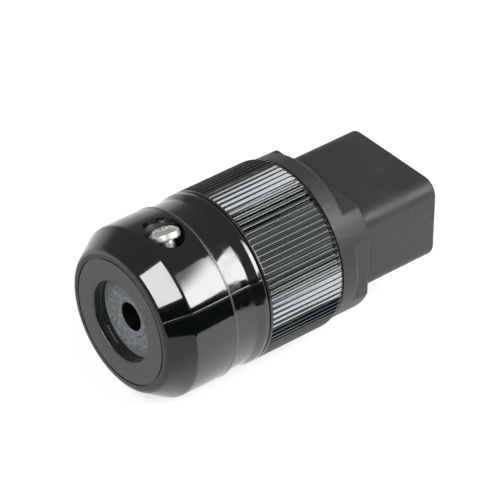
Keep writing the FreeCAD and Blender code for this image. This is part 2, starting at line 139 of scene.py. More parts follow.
class Recipe:
    """Nodes of a material, a light or the surroundings."""

    def __init__(self, owner: bpy.types.ID, coordinates: str = "Object") -> None:
        """Empty the owner's node tree.

        Args:
            owner: material, light or world that the nodes belong to.
            coordinates: which coordinates the patterns read.
        """
        owner.use_nodes = True
        self.owner = owner
        self.tree = owner.node_tree
        self.coordinates = coordinates
        self.tree.nodes.clear()

    @classmethod
    def of_material(cls, name: str) -> "Recipe":
        """Recipe of a new material."""
        return cls(bpy.data.materials.new(name))

    @cached_property
    def place(self) -> bpy.types.NodeSocket:
        """Socket that gives the place on the object."""
        return self.node("ShaderNodeTexCoord").outputs[self.coordinates]

    def node(self, kind: str, settings: dict | None = None,
             inputs: dict | None = None) -> bpy.types.Node:
        """Add a node.

        Args:
            kind: the node's type.
            settings: attributes, which are set first.
            inputs: values, signals or sockets by the input's name or number.

        Returns:
            The new node.
        """
        made = self.tree.nodes.new(kind)
        for key, value in (settings or {}).items():
            setattr(made, key, value)
        for key, value in (inputs or {}).items():
            source = value.socket if isinstance(value, Signal) else value
            if isinstance(source, bpy.types.NodeSocket):
                self.tree.links.new(source, made.inputs[key])
            else:
                made.inputs[key].default_value = source
        return made

    def split(self, vector: bpy.types.NodeSocket) -> tuple[Signal, Signal, Signal]:
        """The three numbers of a vector."""
        node = self.node("ShaderNodeSeparateXYZ", None, {0: vector})
        return tuple(Signal(self, output) for output in node.outputs)

    def noise(self, size: float, detail: float = 2.0, stretch: Triple = (1.0, 1.0, 1.0)) -> Signal:
        """Cloudy pattern around 0.5.

        Args:
            size: width of one cloud in millimetres.
            detail: octaves of finer detail.
            stretch: how much finer the pattern runs along each axis.

        Returns:
            The pattern.
        """
        scaled = self.node("ShaderNodeMapping", None, {"Vector": self.place, "Scale": stretch})
        inputs = {"Vector": scaled.outputs[0], "Scale": 1 / (size * MM), "Detail": detail}
        return Signal(self, self.node("ShaderNodeTexNoise", None, inputs).outputs[0])

    def colour(self, mask: Signal, *ends: "Colour") -> bpy.types.NodeSocket:
        """Colour that goes from one end to the other.

        Args:
            mask: 0 for the first end, 1 for the second.
            ends: the two colours.

        Returns:
            Socket of the mixed colour.
        """
        first, second = ((*end, 1.0) if isinstance(end, tuple) else end for end in ends)
        mix = self.node("ShaderNodeMix", {"data_type": "RGBA"}, {0: mask, 6: first, 7: second})
        return mix.outputs[2]

    def relief(self, height: Signal, depth: float,
               under: bpy.types.NodeSocket | None = None) -> bpy.types.NodeSocket:
        """Normal of a surface with a fine relief.

        Args:
            height: the relief's height, from 0 to about 1.
            depth: what 1 stands for, in millimetres.
            under: normal of a coarser relief that this one lies on.

        Returns:
            Socket of the normal.
        """
        inputs = {"Distance": depth * MM, "Height": height}
        if under is not None:
            inputs["Normal"] = under
        return self.node("ShaderNodeBump", None, inputs).outputs[0]

    def output(self, kind: str, surface: bpy.types.Node) -> bpy.types.ID:
        """Close the tree with an output node of a kind and give its owner."""
        self.node(kind, None, {"Surface": surface.outputs[0]})
        return self.owner

    def surface(self, inputs: dict) -> bpy.types.Material:
        """Close a material with a Principled surface of the given inputs."""
        shader = self.node("ShaderNodeBsdfPrincipled", None, inputs)
        return self.output("ShaderNodeOutputMaterial", shader)


Colour = Triple | bpy.types.NodeSocket


# ---------------------------------------------------------------- finishes

@dataclass(frozen=True)
class Mottle:
    """Cloudy mask: a cloud's width in millimetres, its detail, and where it starts and is full."""

    size: float
    detail: float
    start: float
    full: float
    stretch: Triple = (1.0, 1.0, 1.0)

    def on(self, recipe: Recipe) -> Signal:
        """The mask in a recipe."""
        return recipe.noise(self.size, self.detail, self.stretch).step(self.start, self.full)


@dataclass(frozen=True)
class PaintedHighlightEdge:
    """Pale band painted along an edge as a painted highlight, standing in for the lit line along
    its rounding, in millimetres.
    """

    station: float
    radius: float
    half: float
    soft: float = 0.05

    def on(self, x: Signal, radius: Signal) -> Signal:
        """Mask of the edge at places given by x and distance from the barrel's axis."""
        along = x.band(self.station * MM, self.half * MM, self.soft * MM)
        return along * radius.step((self.radius - self.soft) * MM, self.radius * MM)


@dataclass(frozen=True)
class PolishedHousing:
    """Polished black moulding with a matte rear face, a fine parting line and pale bands painted on
    the step and rim edges as a painted highlight.

    Stations, radii and depths are in millimetres, angles in degrees.
    """

    name: str = "polished_black_moulding"
    base: Triple = (0.0035, 0.0045, 0.005)
    roughness: float = 0.07
    reflectance: float = 0.95
    wear: Mottle = Mottle(9.0, 5.0, 0.56, 0.72)
    scuffs: Mottle = Mottle(1.6, 3.0, 0.62, 0.75, (0.25, 1.0, 1.0))
    wear_and_highlight: float = 0.05
    waist_x: float = -57.7
    blotches: Mottle = Mottle(2.6, 4.0, 0.42, 0.62)
    blotched: float = 0.11
    pocket_x: float = -67.4
    pocket_radius: float = 18.3
    pocket_dull: float = 0.5
    matte_base: Triple = (0.082, 0.083, 0.089)
    matte_mottle: Mottle = Mottle(0.8, 6.0, 0.35, 0.65)
    matte_roughness: float = 0.5
    matte_grain: Pair = (0.22, 0.03)
    face_x: float = -73.45
    face_radius: float = 14.0
    painted_highlight: Triple = (0.085, 0.085, 0.08)
    # painted highlight: pale bands on the step's bead and the rim edge stand in for the lit lines
    # along them
    highlight_edges: tuple[PaintedHighlightEdge, ...] = (PaintedHighlightEdge(-57.96, 18.9, 0.24),
                                            PaintedHighlightEdge(-49.6, 18.95, 0.1))
    highlight_edge_dull: float = 0.2
    wave_sizes: Pair = (7.0, 0.8)
    wave_heights: Pair = (0.5, 0.02)
    seam_angle: float = -61.0
    seam_width: float = 0.7
    seam_height: float = 1.6
    relief: float = 0.02
    fade: float = 0.2

    def rear_face(self, x: Signal, radius: Signal) -> Signal:
        """Mask of the matte rear face.

        Args:
            x: place along the barrel.
            radius: distance from the barrel's axis.

        Returns:
            The mask.
        """
        on_face = x.step((self.face_x + 2 * self.fade) * MM, (self.face_x + self.fade / 2) * MM)
        edge = self.face_radius - self.fade / 2
        return on_face * radius.step(edge * MM, (edge - self.fade) * MM)

    def gloss(self, recipe: Recipe, x: Signal, radius: Signal) -> Signal:
        """Roughness of the polish.

        Args:
            recipe: the material's recipe.
            x: place along the barrel.
            radius: distance from the barrel's axis.

        Returns:
            Roughness with wear, the blotchy waist and the dull access holes.
        """
        waist = x.step(self.waist_x * MM, (self.waist_x + self.fade) * MM)
        along = x.step(self.pocket_x * MM, (self.pocket_x + self.fade) * MM)
        pocket = along * radius.step(self.pocket_radius * MM, (self.pocket_radius - 0.3) * MM)
        wear_and_highlight = self.wear_and_highlight * self.wear.on(recipe) + self.wear_and_highlight * self.scuffs.on(recipe)
        blotched = self.blotched * (self.blotches.on(recipe) * waist)
        return self.roughness + wear_and_highlight + blotched + self.pocket_dull * pocket

    def polish(self, recipe: Recipe, angle: Signal) -> bpy.types.NodeSocket:
        """Normal of the slightly wavy polish with its parting line.

        Args:
            recipe: the material's recipe.
            angle: angle about the barrel's axis, in radians.

        Returns:
            Socket of the normal.
        """
        half = math.radians(self.seam_width) / 2
        seam = angle.band(math.radians(self.seam_angle), half, half)
        waves = sum(recipe.noise(size, 1.0) * height
                    for size, height in zip(self.wave_sizes, self.wave_heights))
        return recipe.relief(waves + seam * self.seam_height, self.relief)

    def material(self) -> bpy.types.Material:
        """Build the material.

        Returns:
            The finished material.
        """
        recipe = Recipe.of_material(self.name)
        x, y, z = recipe.split(recipe.place)
        radius = y.span(z)
        matte = self.rear_face(x, radius)
        gloss = self.gloss(recipe, x, radius)
        painted_highlight = sum(edge.on(x, radius) for edge in self.highlight_edges)
        grain, depth = self.matte_grain
        patchy = matte * (0.7 + 0.3 * self.matte_mottle.on(recipe))
        skin = recipe.colour(patchy, self.base, self.matte_base)
        # painted highlight: the pale edge colour, a little patchy, mixed in along the step and rim
        # edges
        painted_highlight_share = painted_highlight * (0.6 + 0.4 * recipe.noise(1.5, 3.0))
        roughness = gloss + matte * (self.matte_roughness - gloss) + self.highlight_edge_dull * painted_highlight
        polish = self.polish(recipe, y.bearing(z))
        return recipe.surface({
            "Base Color": recipe.colour(painted_highlight_share, skin, self.painted_highlight),
            "Roughness": roughness,
            "Specular IOR Level": self.reflectance,
            "Normal": recipe.relief(recipe.noise(grain) * matte, depth, polish)})


@dataclass(frozen=True)
class RibbedPlastic:
    """Glossy black moulding of the coupling ring, its crests painted paler as a painted highlight
    that stands in for the thin lit line along each rib.
    """

    name: str = "semi_gloss_black_moulding"
    base: Triple = (0.003, 0.0045, 0.0055)
    roughness: float = 0.06
    reflectance: float = 0.68
    sheen_colour: Triple = (0.94, 0.98, 1.0)
    # painted highlight: the paler colour of the rib crests
    painted_highlight: Triple = (0.035, 0.038, 0.041)
    crest: float = 19.1
    crest_highlight_depth: float = 0.16
    handling: Mottle = Mottle(5.0, 4.0, 0.45, 0.75)
    streak_size: float = 0.5
    streak_stretch: Triple = (0.2, 1.0, 1.0)
    wave_size: float = 4.0
    relief: float = 0.008

    def material(self) -> bpy.types.Material:
        """Build the material.

        Returns:
            The finished material.
        """
        recipe = Recipe.of_material(self.name)
        handling = self.handling.on(recipe)
        streaks = recipe.noise(self.streak_size, 2.0, self.streak_stretch)
        _, y, z = recipe.split(recipe.place)
        crests = y.span(z).step((self.crest - self.crest_highlight_depth) * MM, self.crest * MM)
        # painted highlight on the crests, a little patchy with the handling mottle
        wear_and_highlight = crests * (0.75 + 0.25 * handling)
        return recipe.surface({
            "Base Color": recipe.colour(wear_and_highlight, self.base, self.painted_highlight),
            "Roughness": self.roughness + 0.06 * handling + 0.04 * streaks,
            "Specular IOR Level": self.reflectance,
            "Specular Tint": (*self.sheen_colour, 1.0),
            "Normal": recipe.relief(streaks + recipe.noise(self.wave_size, 1.0), self.relief)})


@dataclass(frozen=True)
class MattePlastic:
    """Spark-textured moulding, evenly dull with faint pale mottling."""

    name: str
    base: Triple
    pale: Triple
    roughness: float = 0.5
    reflectance: float = 0.5
    mottling: Mottle = Mottle(1.7, 6.0, 0.5, 0.8)
    sweep: Mottle = Mottle(14.0, 2.0, 0.35, 0.7)
    grain: float = 0.16
    relief: float = 0.02

    def material(self) -> bpy.types.Material:
        """Build the material.

        Returns:
            The finished material.
        """
        recipe = Recipe.of_material(self.name)
        mottling, sweep = self.mottling.on(recipe), self.sweep.on(recipe)
        return recipe.surface({
            "Base Color": recipe.colour(mottling * 0.35 + sweep * 0.3, self.base, self.pale),
            "Roughness": self.roughness + 0.1 * sweep - 0.08 * mottling,
            "Specular IOR Level": self.reflectance,
            "Normal": recipe.relief(recipe.noise(self.grain) + mottling * 0.2, self.relief)})


@dataclass(frozen=True)
class SealRubber:
    """Dull grey rubber with dusty patches, its cord hole's wall painted black as painted shade for
    the deep hole, in millimetres.
    """

    name: str = "dull_grey_rubber"
    base: Triple = (0.19, 0.21, 0.22)
    dusty: Triple = (0.40, 0.43, 0.445)
    # painted shade: black on the cord hole's wall stands in for the shade deep in the hole
    inside: Triple = (0.0, 0.0, 0.0)
    hole: float = 3.1
    hole_edge: Pair = (0.02, 0.2)
    roughness: float = 0.62
    reflectance: float = 0.2
    patches: Mottle = Mottle(0.7, 8.0, 0.4, 0.7)
    specks: Mottle = Mottle(0.15, 3.0, 0.45, 0.7)
    grain: float = 0.25
    relief: float = 0.012

    def material(self) -> bpy.types.Material:
        """Build the material.

        Returns:
            The finished material.
        """
        recipe = Recipe.of_material(self.name)
        dust = self.patches.on(recipe) * 0.7 + self.specks.on(recipe) * 0.3
        _, y, z = recipe.split(recipe.place)
        outside = y.span(z).step(*((self.hole + edge) * MM for edge in self.hole_edge))
        skin = recipe.colour(dust, self.base, self.dusty)
        return recipe.surface({
            # painted shade inside the cord hole
            "Base Color": recipe.colour(outside, self.inside, skin),
            "Roughness": self.roughness + 0.15 * dust,
            "Specular IOR Level": self.reflectance,
            "Normal": recipe.relief(recipe.noise(self.grain, 3.0), self.relief)})


@dataclass(frozen=True)
class PlatedMetal:
    """Bare or plated metal with fine tool marks and a little tarnish."""

    name: str
    base: Triple
    tarnish: Triple
    roughness: float
    clouds: Mottle = Mottle(1.4, 4.0, 0.45, 0.75)
    marks: float = 0.3
    relief: float = 0.01

    def material(self) -> bpy.types.Material:
        """Build the material.

        Returns:
            The finished material.
        """
        recipe = Recipe.of_material(self.name)
        clouds, tool = self.clouds.on(recipe), recipe.noise(self.marks, 3.0)
        return recipe.surface({
            "Base Color": recipe.colour(clouds, self.base, self.tarnish),
            "Metallic": 1.0,
            "Roughness": self.roughness + 0.12 * clouds + 0.08 * tool,
            "Normal": recipe.relief(tool + clouds * 0.3, self.relief)})


class Finish(Enum):
    """Every finish of the connector, by the record's material slot."""

    CARRIER = "carrier_plastic"
    INSULATOR = "insulator_plastic"
    RING = "ring_plastic"
    HOUSING = "housing_plastic"
    RUBBER = "seal_rubber"
    JAW = "jaw_plastic"
    CONTACT = "contact_brass"
    PLATE = "plate_brass"
    SCREW = "screw_steel"
    SPRING = "spring_steel"
    NICKEL = "nickel_steel"


FINISHES = {
    Finish.CARRIER: MattePlastic(
        "satin_carrier_moulding", (0.032, 0.032, 0.031), (0.062, 0.062, 0.06), 0.46),
    Finish.INSULATOR: MattePlastic(
        "black_insulator_moulding", (0.02, 0.02, 0.021), (0.04, 0.04, 0.042), 0.5),
    Finish.RING: RibbedPlastic(),
    Finish.HOUSING: PolishedHousing(),
    Finish.RUBBER: SealRubber(),
    # near-black jaw: partly its own black, partly painted shade, darkened so the access holes read
    # black inside
    Finish.JAW: MattePlastic(
        "black_jaw_moulding", (0.006, 0.006, 0.0065), (0.012, 0.012, 0.013), 0.55, 0.25),
    Finish.CONTACT: PlatedMetal("drawn_brass", (0.78, 0.57, 0.27), (0.5, 0.33, 0.13), 0.24),
    Finish.PLATE: PlatedMetal("pressed_brass", (0.74, 0.55, 0.28), (0.45, 0.31, 0.14), 0.3),
    Finish.SCREW: PlatedMetal("zinc_plated_steel", (0.6, 0.6, 0.6), (0.4, 0.39, 0.36), 0.28),
    Finish.SPRING: PlatedMetal("spring_steel", (0.3, 0.3, 0.31), (0.18, 0.17, 0.16), 0.32),
    Finish.NICKEL: PlatedMetal("bright_nickel", (0.95, 0.93, 0.9), (0.8, 0.77, 0.72), 0.36),
}
MATERIALS: dict[Finish, bpy.types.Material] = {}    # filled by main


# ---------------------------------------------------------------- modelling bench

class Bench:
    """Modelling by operators: profiles traced point by point, turned and finished."""

    @staticmethod
    def clear() -> None:
        """Leave edit mode and deselect everything."""
        if bpy.context.object and bpy.context.object.mode != "OBJECT":
            bpy.ops.object.mode_set(mode="OBJECT")
        bpy.ops.object.select_all(action="DESELECT")

    @classmethod
    def only(cls, piece: bpy.types.Object) -> None:
        """Select one object and make it active.

        Args:
            piece: the object.
        """
        cls.clear()
        piece.select_set(True)
        bpy.context.view_layer.objects.active = piece

    @staticmethod
    def merge(distance: float = MERGE) -> None:
        """Merge all points that lie together, in edit mode."""
        bpy.ops.mesh.select_all(action="SELECT")
        bpy.ops.mesh.remove_doubles(threshold=distance)

    @classmethod
    def trace(cls, name: str, points: Sequence[Pair], closed: bool = True) -> bpy.types.Object:
        """Trace a profile in the XZ plane by extruding one vertex from point to point.

        Args:
            name: name of the new object.
            points: places along x and z, in millimetres.
            closed: whether the last point joins the first.

        Returns:
            The object, in edit mode with everything selected.
        """
        cls.clear()
        places = [Vector((x, 0.0, z)) * MM for x, z in points]
        bpy.ops.mesh.primitive_plane_add(size=MM)
        piece = bpy.context.object
        piece.name = piece.data.name = name
        bpy.ops.object.mode_set(mode="EDIT")
        bpy.ops.mesh.select_all(action="SELECT")
        bpy.ops.mesh.merge(type="CENTER")
        bpy.ops.transform.translate(value=places[0])
        for here, there in zip(places, places[1:] + places[:1] * closed):
            bpy.ops.mesh.extrude_region_move(TRANSFORM_OT_translate={"value": there - here})
        bpy.ops.mesh.select_all(action="SELECT")
        if closed:
            cls.merge()
        return piece

    @classmethod
    def turn(cls, steps: int, angle: float = FULL_TURN, axis: Vector = X_AXIS,
             copies: bool = False) -> None:
        """Spin what is selected about an axis through the origin and merge where it closes.

        Args:
            steps: how many steps the turn has.
            angle: the whole turn, in radians.
            axis: direction of the axis.
            copies: whether to set out copies instead of drawing a skin.
        """
        bpy.ops.mesh.spin(steps=steps, angle=angle, center=(0, 0, 0), axis=axis, dupli=copies,
                          use_normal_flip=False, use_auto_merge=False)
        cls.merge()

    @classmethod
    def choose(cls, piece: bpy.types.Object, wanted: Callable[[Vector], bool]) -> int:
        """Select the vertices that a test accepts.

        Args:
            piece: object in edit mode.
            wanted: test on a vertex's place.

        Returns:
            How many were selected.
        """
        bpy.ops.mesh.select_all(action="DESELECT")
        bpy.ops.object.mode_set(mode="OBJECT")
        for vertex in piece.data.vertices:
            vertex.select = wanted(vertex.co)
        bpy.ops.object.mode_set(mode="EDIT")
        return piece.data.total_vert_sel

    @classmethod
    def close(cls, piece: bpy.types.Object, angle: float = 30.0) -> None:
        """Point the faces outward, leave edit mode and shade smooth.

        Args:
            piece: object in edit mode.
            angle: angle in degrees above which an edge stays hard.
        """
        bpy.ops.mesh.select_all(action="SELECT")
        bpy.ops.mesh.normals_make_consistent(inside=False)
        bpy.ops.object.mode_set(mode="OBJECT")
        cls.shade(piece, angle)

    @classmethod
    def shade(cls, piece: bpy.types.Object, angle: float) -> None:
        """Shade an object smooth, with hard edges above an angle in degrees."""
        cls.only(piece)
        bpy.ops.object.shade_smooth_by_angle(angle=math.radians(angle))

    @classmethod
    def cut(cls, piece: bpy.types.Object, cutter: bpy.types.Object) -> None:
        """Take a cutter's volume out of a piece and remove the cutter.

        Args:
            piece: object that is cut.
            cutter: closed object that overlaps it.
        """
        cls.only(piece)
        change = piece.modifiers.new("cut", "BOOLEAN")
        change.operation, change.solver, change.object = "DIFFERENCE", "EXACT", cutter
        bpy.ops.object.modifier_apply(modifier=change.name)
        bpy.data.objects.remove(cutter, do_unlink=True)

    @classmethod
    def settle(cls, piece: bpy.types.Object, matrix: Matrix | None = None) -> None:
        """Put a piece in its place and bring its object back to the origin, unturned.

        Args:
            piece: the piece.
            matrix: what takes it from where it is to its place, if it isn't there yet.
        """
        if matrix is not None:
            piece.matrix_world = matrix @ piece.matrix_world
        cls.only(piece)
        bpy.ops.object.transform_apply(location=True, rotation=True, scale=True)

    @classmethod
    def join(cls, pieces: Sequence[bpy.types.Object], name: str) -> bpy.types.Object:
        """Join several objects into the first.

        Args:
            pieces: the objects.
            name: name of the joined object.

        Returns:
            The joined object.
        """
        cls.clear()
        for piece in pieces:
            piece.select_set(True)
        bpy.context.view_layer.objects.active = pieces[0]
        bpy.ops.object.join()
        pieces[0].name = pieces[0].data.name = name
        return pieces[0]

    @classmethod
    def copy(cls, source: bpy.types.Object, name: str) -> bpy.types.Object:
        """Copy an object with its own mesh.

        Args:
            source: object to copy, which stays as it is.
            name: name of the copy.

        Returns:
            The copy, selected alone.
        """
        piece = bpy.data.objects.new(name, source.data.copy())
        piece.data.name = name
        bpy.context.collection.objects.link(piece)
        cls.only(piece)
        return piece

    @classmethod
    def dressed_copy(cls, node: str, name: str, angle: float) -> bpy.types.Object:
        """Copy a CAD node, merge its loose triangles and keep its flat faces flat.

        Args:
            node: name of the CAD node.
            name: name of the copy.
            angle: angle in degrees above which an edge stays hard.

        Returns:
            The copy.
        """
        piece = cls.copy(frame["nodes"][node], name)
        bpy.ops.mesh.customdata_custom_splitnormals_clear()
        bpy.ops.object.mode_set(mode="EDIT")
        cls.merge(LOOSE_MERGE)
        bpy.ops.object.mode_set(mode="OBJECT")
        cls.shade(piece, angle)
        weights = piece.modifiers.new("flat faces", "WEIGHTED_NORMAL")
        weights.keep_sharp, weights.weight = True, 100
        bpy.ops.object.modifier_apply(modifier=weights.name)
        return piece


def rounded(corners: Sequence[Triple], parts: int = 6) -> list[Pair]:
    """Closed profile with its corners rounded.

    Args:
        corners: x, radius and rounding of each corner, in millimetres.
        parts: straight parts of each rounding.

    Returns:
        The profile's points.
    """
    found: list[Pair] = []
    for index, (x, r, rounding) in enumerate(corners):
        if rounding == 0:
            found.append((x, r))
            continue
        tip = Vector((x, r))
        back = (Vector(corners[index - 1][:2]) - tip).normalized()
        on = (Vector(corners[(index + 1) % len(corners)][:2]) - tip).normalized()
        half = back.angle(on) / 2
        centre = tip + (back + on).normalized() * rounding / math.sin(half)
        start = tip + back * rounding / math.tan(half) - centre
        end = tip + on * rounding / math.tan(half) - centre
        sweep = math.pi - 2 * half
        for part in range(parts + 1):
            first = math.sin(sweep * (1 - part / parts)) / math.sin(sweep)
            second = math.sin(sweep * part / parts) / math.sin(sweep)
            found.append(tuple(centre + start * first + end * second))
    return found


class Assembly:
    """Something that adds pieces, dresses them and tells the frame about them."""

    def place(self, piece: bpy.types.Object, finish: Finish, node: str) -> None:
        """Dress a piece, let it ride on the connector's body and stand for its CAD node.

        Args:
            piece: the finished piece.
            finish: its finish.
            node: the CAD node that it stands for.
        """
        piece.data.materials.clear()
        piece.data.materials.append(MATERIALS[finish])
        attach(piece, "root")
        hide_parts(node)
        LOG.info("%s: %d vertices, stands for %s", piece.name, len(piece.data.vertices), node)


@dataclass(frozen=True)
class ClampAxis:
    """Axis of the cord clamp's screws, in millimetres and degrees."""

    station: float = -63.0
    offset: float = 10.5
    lean: float = 30.4

    def placement(self, turn: float) -> Matrix:
        """Matrix that takes a shape drawn about Z to the upper screw at 0, the lower at 180."""
        roll = Matrix.Rotation(math.radians(turn - self.lean), 4, "X")
        return roll @ Matrix.Translation(Vector((self.station, -self.offset, 0)) * MM)


# ---------------------------------------------------------------- rear housing

@dataclass
class RearHousing(Assembly):
    """Polished rear moulding: rim, waist, step, barrel, cone and recessed cord entry.

    Sizes are in millimetres, angles in degrees. Stations lie along x.
    """

    rear_face: float = -73.45
    barrel: float = 19.1
    neck: float = 16.95
    bore: float = 15.2
    neck_front: float = -33.15
    rim_front: float = -49.5
    rim_length: float = 1.0
    rim_roundings: Pair = (0.22, 0.6)
    rim_sweep: float = 1.9
    sweep_rounding: float = 3.0
    waist: float = 18.67
    waist_taper: float = 0.13
    step: float = -57.75
    step_rounding: float = 0.03
    bead: float = 0.42
    bead_drop: float = 0.01
    bead_rounding: float = 0.1
    bead_end: float = 0.08
    crown: float = 0.08
    crown_parts: int = 12
    cone_length: float = 5.35
    cone_angle: float = 33.0
    cone_roundings: Pair = (1.3, 1.5)
    line_radius: float = 14.0
    line_half: float = 0.16
    line_depth: float = 0.3
    line_rounding: float = 0.04
    entry: float = 8.9
    entry_rounding: float = 0.6
    groove: Pair = (1.1, 2.1)
    groove_depth: float = 0.4
    groove_ends: Pair = (0.15, 0.1)
    groove_rounding: float = 0.15
    land: float = 0.25
    seal_face: float = -70.3
    seal_pocket: float = 11.6
    chamber: float = -67.0
    access: float = 4.1
    access_sides: int = 128
    clamp: ClampAxis = ClampAxis()
    segments: int = 240

    def crowned(self, start: float, end: float) -> list[Triple]:
        """Points of the barrel, which shrinkage in the mould leaves slightly crowned.

        Args:
            start: station of its front end.
            end: station of its rear end.

        Returns:
            Corners between the two ends.
        """
        middle, half = (start + end) / 2, (end - start) / 2
        shares = [part / self.crown_parts for part in range(1, self.crown_parts)]
        places = [start + (end - start) * share for share in shares]
        return [(x, self.barrel - self.crown * ((x - middle) / half) ** 2, 0) for x in places]

    def outside(self) -> list[Triple]:
        """Corners of the outside, from the neck to the rear face.

        Returns:
            The corners.
        """
        rim_back = self.rim_front - self.rim_length
        bead_rear, bead_top = self.step - self.bead, self.barrel - self.bead_drop
        barrel_rear = self.rear_face + self.cone_length
        cone = self.barrel - self.cone_length * math.tan(math.radians(self.cone_angle))
        return [
            (self.neck_front, self.bore, 0), (self.neck_front, self.neck, 0),
            (self.rim_front, self.neck, 0),
            (self.rim_front, self.barrel, self.rim_roundings[0]),
            (rim_back, self.barrel, self.rim_roundings[1]),
            (rim_back - self.rim_sweep, self.waist - self.waist_taper, self.sweep_rounding),
            (self.step, self.waist, self.step_rounding),
            (self.step, bead_top, self.bead_rounding),
            (bead_rear, bead_top, self.bead_rounding),
            (bead_rear - self.bead_end, self.barrel - self.crown, self.bead_rounding / 2),
            *self.crowned(bead_rear - 0.2, barrel_rear + 0.6),
            (barrel_rear, self.barrel - self.crown, self.cone_roundings[0]),
            (self.rear_face, cone, self.cone_roundings[1])]

    def recess(self) -> list[Triple]:
        """Corners of the rear face's fine line, the cord entry and the seal's pocket.

        Returns:
            The corners.
        """
        face, line, half = self.rear_face, self.line_radius, self.line_half
        start, end = face + self.groove[0], face + self.groove[1]
        floor, land = self.entry + self.groove_depth, self.entry + self.land
        soft = self.groove_rounding
        return [
            (face, line + half, self.line_rounding), (face + self.line_depth, line + half, 0),
            (face + self.line_depth, line - half, 0), (face, line - half, self.line_rounding),
            (face, self.entry, self.entry_rounding), (start, self.entry, soft),
            (start + self.groove_ends[0], floor, soft), (end, floor, soft),
            (end + self.groove_ends[1], land, self.groove_ends[1]),
            (self.seal_face, land, 0), (self.seal_face, self.seal_pocket, 0),
            (self.chamber, self.seal_pocket, 0), (self.chamber, self.bore, 0)]

    def access_cutter(self, turn: float) -> bpy.types.Object:
        """Round bar that opens the access hole of one clamp screw.

        Args:
            turn: 0 for the upper screw, 180 for the lower.

        Returns:
            The bar.
        """
        Bench.clear()
        bpy.ops.mesh.primitive_cylinder_add(
            vertices=self.access_sides, radius=self.access * MM, depth=self.barrel * 2 * MM,
            location=(0, 0, self.barrel * MM))
        bar = bpy.context.object
        bar.matrix_world = self.clamp.placement(turn) @ bar.matrix_world
        return bar

    def build(self) -> None:
        """Turn the profile, open the two access holes and dress the moulding."""
        piece = Bench.trace("rear_housing_shell", rounded(self.outside() + self.recess()))
        Bench.turn(self.segments)
        Bench.close(piece)
        for turn in (0.0, 180.0):
            Bench.cut(piece, self.access_cutter(turn))
        Bench.shade(piece, 28.0)
        self.place(piece, Finish.HOUSING, "rear_housing")


# ---------------------------------------------------------------- coupling ring

